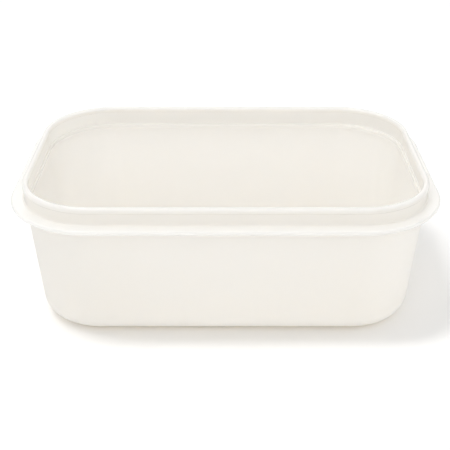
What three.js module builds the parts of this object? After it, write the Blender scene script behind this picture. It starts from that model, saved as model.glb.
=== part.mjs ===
// Open food storage tub, one moulding of frosted polypropylene: a rounded rectangular plan,
// tapered walls on a filleted base, a ledge flange that a lid clips under, and above it a short
// upright lip that ends in a round bead. Inside, a small step marks where lip and wall meet.
// Millimetres, +Z up, length along X, standing on z = 0 with its centre on the Z axis.
import * as THREE from 'three';
import { mergeVertices } from 'three/addons/utils/BufferGeometryUtils.js';

// Plan, measured over the flange
const LENGTH = 200;
const WIDTH = 138;
const CORNER_RADIUS = 40.5;

// Heights above the resting face
const HEIGHT = 69;
const FLANGE_TOP = 60.7;
const STEP_HEIGHT = 59.2;

// Wall, base and taper
const WALL = 1.7;
const FLOOR = 1.8;
const DRAFT = THREE.MathUtils.degToRad(5.1);
const BASE_FILLET = 10.2;

// Flange, lip and bead; an inset is how far a face lies inside the flange's outer edge
const FLANGE_THICKNESS = 2.1;
const FLANGE_EDGE_RADIUS = 0.8;
const WALL_INSET = 6.5;
const LIP_INSET = 6;
const LIP_THICKNESS = 1.2;
const BEAD_RADIUS = 1.4;
const BEAD_INSET = 5.65;
const ROOT_RADIUS = 0.9;
const BEAD_ROOT_RADIUS = 0.3;
const STEP_RADIUS = 0.45;

// Facets: steps along an arc of the section, and columns round each corner of the plan
const SMALL_ARC = 3;
const BEAD_ARC = 5;
const FILLET_ARC = 9;
const CORNER_COLUMNS = 14;

const FROSTED_PLASTIC = new THREE.MeshStandardMaterial({ color: 0xeee9dc, roughness: 0.45, metalness: 0 });

// Inset of the tapered wall's outer face at a height; the wall leans in towards the base.
function wallInset(height) {
  const underFlange = FLANGE_TOP - FLANGE_THICKNESS;
  return WALL_INSET + (underFlange - height) * Math.tan(DRAFT);
}

// The section's corners from the base edge up the outside, over the bead and down the inside.
function sectionCorners() {
  const underFlange = FLANGE_TOP - FLANGE_THICKNESS;
  const underBead = HEIGHT - 2 * BEAD_RADIUS;
  const beadInside = BEAD_INSET + 2 * BEAD_RADIUS;
  const lipInside = LIP_INSET + LIP_THICKNESS;
  const corner = (inset, height, radius, steps) => ({
    at: new THREE.Vector2(CORNER_RADIUS - inset, height),
    radius,
    steps,
  });
  return [
    corner(wallInset(0), 0, BASE_FILLET, FILLET_ARC),
    corner(wallInset(underFlange), underFlange, ROOT_RADIUS, SMALL_ARC),
    corner(0, underFlange, FLANGE_EDGE_RADIUS, SMALL_ARC),
    corner(0, FLANGE_TOP, FLANGE_EDGE_RADIUS, SMALL_ARC),
    corner(LIP_INSET, FLANGE_TOP, ROOT_RADIUS, SMALL_ARC),
    corner(LIP_INSET, underBead, BEAD_ROOT_RADIUS, 1),
    corner(BEAD_INSET, underBead + BEAD_ROOT_RADIUS, BEAD_ROOT_RADIUS, 1),
    corner(BEAD_INSET, HEIGHT, BEAD_RADIUS, BEAD_ARC),
    corner(beadInside, HEIGHT, BEAD_RADIUS, BEAD_ARC),
    corner(beadInside, underBead + BEAD_ROOT_RADIUS, BEAD_ROOT_RADIUS, 1),
    corner(lipInside, underBead, BEAD_ROOT_RADIUS, 1),
    corner(lipInside, STEP_HEIGHT, STEP_RADIUS, SMALL_ARC),
    corner(wallInset(STEP_HEIGHT) + WALL, STEP_HEIGHT, STEP_RADIUS, SMALL_ARC),
    corner(wallInset(FLOOR) + WALL, FLOOR, BASE_FILLET - WALL, FILLET_ARC),
  ];
}

// One corner of the section as an arc tangent to the straight runs on both sides of it.
function roundCorner(before, { at, radius, steps }, after) {
  const back = before.clone().sub(at).normalize();
  const on = after.clone().sub(at).normalize();
  const halfAngle = Math.acos(THREE.MathUtils.clamp(back.dot(on), -1, 1)) / 2;
  const setback = radius / Math.tan(halfAngle);
  const centre = back.clone().add(on).normalize().multiplyScalar(radius / Math.sin(halfAngle)).add(at);
  const start = at.clone().addScaledVector(back, setback).sub(centre).angle();
  const end = at.clone().addScaledVector(on, setback).sub(centre).angle();
  const clockwise = back.cross(on) > 0;
  const arc = new THREE.EllipseCurve(centre.x, centre.y, radius, radius, start, end, clockwise);
  return arc.getPoints(steps);
}

// The closed section: from the middle of the base round the wall to the middle of the floor.
function section() {
  const corners = sectionCorners();
  const points = [new THREE.Vector2(0, 0)];
  const ends = [new THREE.Vector2(0, 0), new THREE.Vector2(0, FLOOR)];
  corners.forEach((corner, i) => {
    const before = i > 0 ? corners[i - 1].at : ends[0];
    const after = i < corners.length - 1 ? corners[i + 1].at : ends[1];
    points.push(...roundCorner(before, corner, after));
  });
  points.push(ends[1]);
  return points;
}

// The section swept round the plan. A lathe gives the columns; they are then shared out over the
// plan's four corner arcs, so that the gap between two arcs becomes a straight side.
function tubGeometry() {
  const points = section();
  const columns = 4 * CORNER_COLUMNS;
  const geometry = new THREE.LatheGeometry(points, columns);
  const position = geometry.getAttribute('position');
  const centreX = LENGTH / 2 - CORNER_RADIUS;
  const centreY = WIDTH / 2 - CORNER_RADIUS;
  for (let i = 0; i < position.count; i += 1) {
    const column = Math.floor(i / points.length) % columns;
    const point = points[i % points.length];
    const quarter = Math.floor(column / CORNER_COLUMNS);
    const share = (column % CORNER_COLUMNS) / (CORNER_COLUMNS - 1);
    const angle = (quarter + share) * Math.PI / 2;
    const sideX = quarter === 0 || quarter === 3 ? 1 : -1;
    const sideY = quarter < 2 ? 1 : -1;
    const onAxis = point.x === 0;
    const x = onAxis ? 0 : sideX * centreX + point.x * Math.cos(angle);
    const y = onAxis ? 0 : sideY * centreY + point.x * Math.sin(angle);
    position.setXYZ(i, x, y, point.y);
  }
  geometry.deleteAttribute('normal');
  geometry.deleteAttribute('uv');
  const merged = mergeVertices(geometry);
  merged.computeVertexNormals();
  return merged;
}

const container = new THREE.Group();
const tub = new THREE.Mesh(tubGeometry(), FROSTED_PLASTIC);
tub.name = 'tub';
container.add(tub);

export default container;
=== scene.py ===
# %% [markdown]
# A frosted food storage tub
#
# The object is an open tub, moulded in one piece from milky polypropylene. Its solid is already fixed
# in CAD, so the first step loads that solid as a frame and reads the outer size from it. Everything
# below is in metres, with +Z up, the length along X, and the tub standing on z = 0.

# %% Load the frame
import math

import bpy
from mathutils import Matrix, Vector


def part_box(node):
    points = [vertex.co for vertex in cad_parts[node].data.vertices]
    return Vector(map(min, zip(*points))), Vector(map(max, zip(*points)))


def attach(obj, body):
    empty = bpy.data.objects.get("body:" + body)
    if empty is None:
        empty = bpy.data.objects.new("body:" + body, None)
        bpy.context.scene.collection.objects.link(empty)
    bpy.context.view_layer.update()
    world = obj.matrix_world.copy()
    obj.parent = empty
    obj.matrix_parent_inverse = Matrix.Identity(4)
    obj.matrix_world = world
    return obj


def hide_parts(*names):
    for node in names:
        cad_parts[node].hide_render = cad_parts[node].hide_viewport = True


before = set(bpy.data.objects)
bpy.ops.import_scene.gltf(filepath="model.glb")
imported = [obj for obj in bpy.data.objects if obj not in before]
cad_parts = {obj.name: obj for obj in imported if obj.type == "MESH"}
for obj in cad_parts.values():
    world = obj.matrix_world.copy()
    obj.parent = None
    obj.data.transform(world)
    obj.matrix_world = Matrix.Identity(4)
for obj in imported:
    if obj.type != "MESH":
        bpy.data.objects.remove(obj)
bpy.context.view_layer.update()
tub_low, tub_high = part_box("tub")
HALF_LENGTH = tub_high.x
HALF_WIDTH = tub_high.y
HEIGHT = tub_high.z
print(f"tub {2 * HALF_LENGTH:.4f} x {2 * HALF_WIDTH:.4f} x {HEIGHT:.4f} m")

# %% [markdown]
# The section of the wall
#
# Cut through anywhere, the moulding shows the same section: a tapered wall on a filleted base, a flange
# that a lid clips under, and an upright lip with a bead. It could be shaped out of a box by insets,
# but the bead overhangs on both sides, so it is drawn as one chain of edges instead. Each corner
# below gives its inset from the flange's outer edge, its height, its radius and its number of facets.

# %% Name the section's sizes
CORNER_RADIUS = 0.0405
FLANGE_TOP = 0.0607
FLANGE_THICKNESS = 0.0021
FLANGE_EDGE_RADIUS = 0.0008
STEP_HEIGHT = 0.0592
WALL = 0.0017
FLOOR = 0.0018
DRAFT = math.radians(5.1)
BASE_FILLET = 0.0102
WALL_INSET = 0.0065
LIP_INSET = 0.006
LIP_THICKNESS = 0.0012
BEAD_RADIUS = 0.0014
BEAD_INSET = 0.00565
ROOT_RADIUS = 0.0009
BEAD_ROOT_RADIUS = 0.0003
STEP_RADIUS = 0.00045
FILLET_FACETS = 16
BEAD_FACETS = 10
EDGE_FACETS = 6
STEP_FACETS = 5
BEAD_ROOT_FACETS = 3
UNDER_FLANGE = FLANGE_TOP - FLANGE_THICKNESS
UNDER_BEAD = HEIGHT - 2 * BEAD_RADIUS
BEAD_INSIDE = BEAD_INSET + 2 * BEAD_RADIUS
LIP_INSIDE = LIP_INSET + LIP_THICKNESS


def wall_inset(height):
    """How far the tapered wall's outer face lies inside the flange's edge at a height."""
    return WALL_INSET + (UNDER_FLANGE - height) * math.tan(DRAFT)


section_corners = [
    (wall_inset(0), 0, BASE_FILLET, FILLET_FACETS),
    (WALL_INSET, UNDER_FLANGE, ROOT_RADIUS, EDGE_FACETS),
    (0, UNDER_FLANGE, FLANGE_EDGE_RADIUS, EDGE_FACETS),
    (0, FLANGE_TOP, FLANGE_EDGE_RADIUS, EDGE_FACETS),
    (LIP_INSET, FLANGE_TOP, ROOT_RADIUS, EDGE_FACETS),
    (LIP_INSET, UNDER_BEAD, BEAD_ROOT_RADIUS, BEAD_ROOT_FACETS),
    (BEAD_INSET, UNDER_BEAD + BEAD_ROOT_RADIUS, BEAD_ROOT_RADIUS, BEAD_ROOT_FACETS),
    (BEAD_INSET, HEIGHT, BEAD_RADIUS, BEAD_FACETS),
    (BEAD_INSIDE, HEIGHT, BEAD_RADIUS, BEAD_FACETS),
    (BEAD_INSIDE, UNDER_BEAD + BEAD_ROOT_RADIUS, BEAD_ROOT_RADIUS, BEAD_ROOT_FACETS),
    (LIP_INSIDE, UNDER_BEAD, BEAD_ROOT_RADIUS, BEAD_ROOT_FACETS),
    (LIP_INSIDE, STEP_HEIGHT, STEP_RADIUS, STEP_FACETS),
    (wall_inset(STEP_HEIGHT) + WALL, STEP_HEIGHT, STEP_RADIUS, STEP_FACETS),
    (wall_inset(FLOOR) + WALL, FLOOR, BASE_FILLET - WALL, FILLET_FACETS),
]
print(f"section of {len(section_corners)} rounded corners")

# %% [markdown]
# Drawing the section
#
# The chain starts under the centre of one plan corner, runs out along the base, up the outside, over
# the bead, down the inside, and back along the floor. A plane merged to one point is the start, and
# each extrude adds one edge. A vertex bevel then turns every sharp corner into an arc.

# %% Draw the chain of edges
centre_x = HALF_LENGTH - CORNER_RADIUS
centre_y = HALF_WIDTH - CORNER_RADIUS


def section_point(inset, height):
    """A point of the section, standing out along X from the plan corner's centre."""
    return Vector((centre_x + CORNER_RADIUS - inset, centre_y, height))


def select_only(test):
    """In edit mode, selects the vertices whose place passes the test, and nothing else."""
    bpy.ops.mesh.select_all(action="DESELECT")
    bpy.ops.object.mode_set(mode="OBJECT")
    for vertex in bpy.context.object.data.vertices:
        vertex.select = test(vertex.co)
    bpy.ops.object.mode_set(mode="EDIT")


chain = [Vector((centre_x, centre_y, 0))]
chain += [section_point(inset, height) for inset, height, radius, facets in section_corners]
chain.append(Vector((centre_x, centre_y, FLOOR)))

bpy.ops.object.select_all(action="DESELECT")
bpy.ops.mesh.primitive_plane_add(size=BEAD_RADIUS, location=chain[0])
tub = bpy.context.object
tub.name = "frosted_tub"
bpy.ops.object.transform_apply(location=True)
bpy.ops.object.mode_set(mode="EDIT")
bpy.ops.mesh.select_mode(type="VERT")
bpy.ops.mesh.merge(type="CENTER")
for here, there in zip(chain, chain[1:]):
    bpy.ops.mesh.extrude_region_move(TRANSFORM_OT_translate={"value": there - here})
print(f"chain of {len(chain) - 1} edges")

# %% Round its corners
TOUCHING = 1e-6
ROUND_PROFILE = 0.5


def setback(before, corner, after, radius):
    """How far along both edges an arc of that radius starts from the corner."""
    half_angle = (before - corner).angle(after - corner) / 2
    return radius / math.tan(half_angle)


for i, (inset, height, radius, facets) in enumerate(section_corners, start=1):
    select_only(lambda place: (place - chain[i]).length < TOUCHING)
    cut = setback(chain[i - 1], chain[i], chain[i + 1], radius)
    bpy.ops.mesh.bevel(affect="VERTICES", offset=cut, segments=facets, profile=ROUND_PROFILE)
bpy.ops.mesh.select_all(action="SELECT")
bpy.ops.mesh.remove_doubles(threshold=TOUCHING)
bpy.ops.object.mode_set(mode="OBJECT")
print(f"section drawn with {len(tub.data.vertices)} points")

# %% [markdown]
# From section to tub
#
# A quarter of the tub is enough, as the rest mirrors it. Spinning the section a quarter turn about the
# plan corner's centre makes the rounded corner. Its two open ends are then pulled to the middle of a
# long and a short side, and the last gap in base and floor is closed by pulling one edge across it.

# %% Spin the corner and pull out the sides
CORNER_FACETS = 40
END_SLACK = 1e-5

bpy.ops.object.mode_set(mode="EDIT")
bpy.ops.mesh.select_all(action="SELECT")
bpy.ops.mesh.spin(
    steps=CORNER_FACETS, angle=math.radians(90), center=(centre_x, centre_y, 0), axis=(0, 0, -1)
)
bpy.ops.mesh.select_all(action="SELECT")
bpy.ops.mesh.remove_doubles(threshold=TOUCHING)

select_only(lambda place: abs(place.x - centre_x) < END_SLACK)
bpy.ops.mesh.extrude_region_move(TRANSFORM_OT_translate={"value": (-centre_x, 0, 0)})
select_only(lambda place: abs(place.y - centre_y) < END_SLACK and place.x > centre_x - END_SLACK)
bpy.ops.mesh.extrude_region_move(TRANSFORM_OT_translate={"value": (0, -centre_y, 0)})
select_only(lambda place: abs(place.y - centre_y) < END_SLACK and place.x < centre_x + END_SLACK)
bpy.ops.mesh.extrude_region_move(TRANSFORM_OT_translate={"value": (0, -centre_y, 0)})
bpy.ops.mesh.select_all(action="SELECT")
bpy.ops.mesh.remove_doubles(threshold=TOUCHING)
bpy.ops.object.mode_set(mode="OBJECT")
print(f"quarter tub of {len(tub.data.polygons)} faces")

# %% Mirror it to the whole tub
LARGE_FACES_LEAD = 100

mirror = tub.modifiers.new("other_quarters", "MIRROR")
mirror.use_axis[0] = True
mirror.use_axis[1] = True
mirror.use_clip = True
mirror.merge_threshold = END_SLACK
bpy.ops.object.modifier_apply(modifier=mirror.name)
bpy.ops.object.mode_set(mode="EDIT")
bpy.ops.mesh.select_all(action="SELECT")
bpy.ops.mesh.remove_doubles(threshold=TOUCHING)
bpy.ops.mesh.normals_make_consistent(inside=False)
bpy.ops.mesh.select_all(action="DESELECT")
bpy.ops.mesh.select_non_manifold()
bpy.ops.object.mode_set(mode="OBJECT")
loose = sum(vertex.select for vertex in tub.data.vertices)
bpy.ops.object.shade_smooth()
evening = tub.modifiers.new("even_shading", "WEIGHTED_NORMAL")
evening.weight = LARGE_FACES_LEAD
bpy.ops.object.modifier_apply(modifier=evening.name)
print(f"whole tub of {len(tub.data.polygons)} faces, {loose} open points")

# %% [markdown]
# Frosted polypropylene
#
# Milky polypropylene lets much light through and scatters it on the way. Glass alone would be too
# clear, and a painted white too solid, so one shader mixes two ways through the wall: subsurface
# scattering, which makes a lit wall glow on its far side, and a little rough transmission, which
# carries light through several walls. The mould leaves a fine grain on the walls and a smoother finish
# on the rim, so roughness and grain follow the height, and a faint clouding varies the tint.

# %% Build the moulded grain as a node group
GRAIN_SIZE = 0.0004
GRAIN_DETAIL = 3
CLOUD_SIZE = 0.03
CLOUD_DETAIL = 2
RIM_BLEND = 0.004


def new_group(name, inputs, outputs):
    """An empty shader node group whose inputs and outputs are numbers with these names."""
    group = bpy.data.node_groups.new(name, "ShaderNodeTree")
    for title in inputs:
        group.interface.new_socket(title, in_out="INPUT", socket_type="NodeSocketFloat")
    for title in outputs:
        group.interface.new_socket(title, in_out="OUTPUT", socket_type="NodeSocketFloat")
    return group, group.nodes.new("NodeGroupInput"), group.nodes.new("NodeGroupOutput")


def place_node(tree, kind, **settings):
    """A new node of that kind, with these properties set on it."""
    node = tree.nodes.new(kind)
    for key, value in settings.items():
        setattr(node, key, value)
    return node


grain, grain_in, grain_out = new_group(
    "moulded_grain",
    ["Wall Roughness", "Rim Roughness"],
    ["Roughness", "Height", "Clouding"],
)
where = place_node(grain, "ShaderNodeTexCoord")
axes = place_node(grain, "ShaderNodeSeparateXYZ")
grain.links.new(where.outputs["Object"], axes.inputs[0])

rim = place_node(grain, "ShaderNodeMapRange", interpolation_type="SMOOTHSTEP")
rim.inputs["From Min"].default_value = UNDER_FLANGE - RIM_BLEND
rim.inputs["From Max"].default_value = UNDER_FLANGE
grain.links.new(axes.outputs["Z"], rim.inputs["Value"])

finish = place_node(grain, "ShaderNodeMix", data_type="FLOAT")
grain.links.new(rim.outputs["Result"], finish.inputs["Factor"])
grain.links.new(grain_in.outputs["Wall Roughness"], finish.inputs["A"])
grain.links.new(grain_in.outputs["Rim Roughness"], finish.inputs["B"])
grain.links.new(finish.outputs["Result"], grain_out.inputs["Roughness"])

pits = place_node(grain, "ShaderNodeTexNoise")
pits.inputs["Scale"].default_value = 1 / GRAIN_SIZE
pits.inputs["Detail"].default_value = GRAIN_DETAIL
grain.links.new(where.outputs["Object"], pits.inputs["Vector"])
below_rim = place_node(grain, "ShaderNodeMath", operation="SUBTRACT")
below_rim.inputs[0].default_value = 1
grain.links.new(rim.outputs["Result"], below_rim.inputs[1])
depth = place_node(grain, "ShaderNodeMath", operation="MULTIPLY")
grain.links.new(pits.outputs["Fac"], depth.inputs[0])
grain.links.new(below_rim.outputs["Value"], depth.inputs[1])
grain.links.new(depth.outputs["Value"], grain_out.inputs["Height"])

cloud = place_node(grain, "ShaderNodeTexNoise")
cloud.inputs["Scale"].default_value = 1 / CLOUD_SIZE
cloud.inputs["Detail"].default_value = CLOUD_DETAIL
grain.links.new(where.outputs["Object"], cloud.inputs["Vector"])
grain.links.new(cloud.outputs["Fac"], grain_out.inputs["Clouding"])
print(f"grain group with {len(grain.nodes)} nodes")

# %% Make the plastic
MILKY = (0.985, 0.949, 0.874, 1)
MILKY_DEEP = (0.981, 0.944, 0.866, 1)
PLASTIC_IOR = 1.42
SCATTER_DEPTH = 0.01
CLEAR_SHARE = 0.15
WALL_ROUGHNESS = 0.5
RIM_ROUGHNESS = 0.2
GRAIN_STRENGTH = 0.1
GRAIN_DEPTH = GRAIN_SIZE / 4

plastic = bpy.data.materials.new("frosted_polypropylene")
plastic.use_nodes = True
nodes = plastic.node_tree.nodes
links = plastic.node_tree.links
shader = nodes["Principled BSDF"]
shader.inputs["IOR"].default_value = PLASTIC_IOR
shader.inputs["Subsurface Weight"].default_value = 1.0
shader.inputs["Subsurface Radius"].default_value = (1.0, 1.0, 1.0)
shader.inputs["Subsurface Scale"].default_value = SCATTER_DEPTH
shader.inputs["Transmission Weight"].default_value = CLEAR_SHARE

mould = nodes.new("ShaderNodeGroup")
mould.node_tree = grain
mould.inputs["Wall Roughness"].default_value = WALL_ROUGHNESS
mould.inputs["Rim Roughness"].default_value = RIM_ROUGHNESS

tint = nodes.new("ShaderNodeMix")
tint.data_type = "RGBA"
tint.inputs["A"].default_value = MILKY
tint.inputs["B"].default_value = MILKY_DEEP
links.new(mould.outputs["Clouding"], tint.inputs["Factor"])
links.new(tint.outputs["Result"], shader.inputs["Base Color"])
links.new(mould.outputs["Roughness"], shader.inputs["Roughness"])

bump = nodes.new("ShaderNodeBump")
bump.inputs["Strength"].default_value = GRAIN_STRENGTH
bump.inputs["Distance"].default_value = GRAIN_DEPTH
links.new(mould.outputs["Height"], bump.inputs["Height"])
links.new(bump.outputs["Normal"], shader.inputs["Normal"])

tub.data.materials.clear()
tub.data.materials.append(plastic)
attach(tub, "root")
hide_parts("tub")
print(f"{tub.name} wears {plastic.name}")

# %% [markdown]
# The floor
#
# The tub stands on a plain white floor. A curved backdrop would hide the horizon, but the view looks
# down and never meets it, so a wide plane is enough. It lies a hair below the base, because a renderer
# can't tell apart two faces in one place.

# %% Lay the floor
FLOOR_GAP = 0.0002
FLOOR_SIZE = 6.0
FLOOR_WHITE = (0.92, 0.92, 0.92, 1)
FLOOR_ROUGHNESS = 0.8
FLOOR_GLOSS = 0.1

bpy.ops.object.select_all(action="DESELECT")
bpy.ops.mesh.primitive_plane_add(size=FLOOR_SIZE, location=(0, 0, -FLOOR_GAP))
floor = bpy.context.object
floor.name = "studio_floor"
floor_paint = bpy.data.materials.new("white_floor")
floor_paint.use_nodes = True
paint = floor_paint.node_tree.nodes["Principled BSDF"]
paint.inputs["Base Color"].default_value = FLOOR_WHITE
paint.inputs["Roughness"].default_value = FLOOR_ROUGHNESS
paint.inputs["Specular IOR Level"].default_value = FLOOR_GLOSS
floor.data.materials.append(floor_paint)
print(f"{floor.name} is {FLOOR_SIZE} m wide")

# %% [markdown]
# The lights
#
# The key light is nearly overhead, a little to the left and the front, so the shadow falls to the right.
# One big dome light could fill the rest, but it would brighten the rim more than the walls, so a ring
# of large softboxes lights the walls from all round, and a weak even world adds the remainder. Light
# passes several walls before it leaves, so many bounces are allowed, each with a limit on its
# brightness to keep the noise low.

# %% Set the lights
LIGHT_DISTANCE = 2.0
LIGHT_BOUNCES = 24
BRIGHTEST_BOUNCE = 1.4
WORLD_STRENGTH = 0.28
KEY_LIGHT = {"azimuth": 287, "elevation": 73, "spread": 9, "brightness": 0.31, "stretch": 1.9}
RING_ELEVATION = 35
RING_SPREAD = 50
RING_BRIGHTNESS = {0: 0.205, 75: 0.115, 120: 0.09, 180: 0.14, 240: 0.115, 285: 0.075}

world = bpy.data.worlds.new("studio")
world.use_nodes = True
sky = world.node_tree.nodes["Background"]
sky.inputs["Color"].default_value = (1, 1, 1, 1)
sky.inputs["Strength"].default_value = WORLD_STRENGTH
bpy.context.scene.world = world


def softbox(name, azimuth, elevation, spread, brightness, stretch=1.0):
    """A soft light aimed at the tub. Azimuth 0 is in front and 90 to the right. The spread is its width
    as an angle, stretched the way it leans, and the brightness is what it adds to a white floor."""
    turn = math.radians(azimuth)
    rise = math.radians(elevation)
    towards = Vector((math.sin(turn) * math.cos(rise), -math.cos(turn) * math.cos(rise), math.sin(rise)))
    bpy.ops.object.light_add(type="AREA", location=towards * LIGHT_DISTANCE)
    lamp = bpy.context.object
    lamp.name = name
    lamp.data.shape = "ELLIPSE"
    lamp.data.size = 2 * LIGHT_DISTANCE * math.tan(math.radians(spread) / 2)
    lamp.data.size_y = lamp.data.size * stretch
    lamp.data.energy = brightness * (math.pi * LIGHT_DISTANCE) ** 2 / math.sin(rise)
    lamp.rotation_euler = towards.to_track_quat("Z", "Y").to_euler()


softbox("key", **KEY_LIGHT)
for azimuth, brightness in RING_BRIGHTNESS.items():
    softbox(f"ring_{azimuth}", azimuth, RING_ELEVATION, RING_SPREAD, brightness)
bpy.context.scene.view_settings.view_transform = "Standard"
for kind in ("max_bounces", "diffuse_bounces", "glossy_bounces", "transmission_bounces"):
    setattr(bpy.context.scene.cycles, kind, LIGHT_BOUNCES)
bpy.context.scene.cycles.sample_clamp_indirect = BRIGHTEST_BOUNCE
print(f"key light and a ring of {len(RING_BRIGHTNESS)} softboxes")

# %% [markdown]
# The camera
#
# The camera looks down on the long side, at the place and with the focal length that make the rim's and
# the base's outlines fall where the photograph has them. The focal length is given in pixels of its
# square frame, and becomes millimetres through the sensor's width.

# %% Aim the camera
CAMERA_PLACE = (-0.0003, -0.418, 0.2477)
CAMERA_PITCH = math.radians(27.73)
SENSOR_WIDTH = 36
FRAME_PIXELS = 450
FOCAL_PIXELS = 920

bpy.ops.object.camera_add(location=CAMERA_PLACE, rotation=(math.radians(90) - CAMERA_PITCH, 0, 0))
camera = bpy.context.object
camera.name = "photo_view"
camera.data.sensor_width = SENSOR_WIDTH
camera.data.lens = SENSOR_WIDTH * FOCAL_PIXELS / FRAME_PIXELS
bpy.context.scene.camera = camera
print(f"{camera.name} with a lens of {camera.data.lens:.1f} mm")

# %% [markdown]
# Finishing
#
# The dressed tub has to keep the CAD solid's size, and the last step brings the scene up to date.

# %% Finish
bpy.context.view_layer.update()
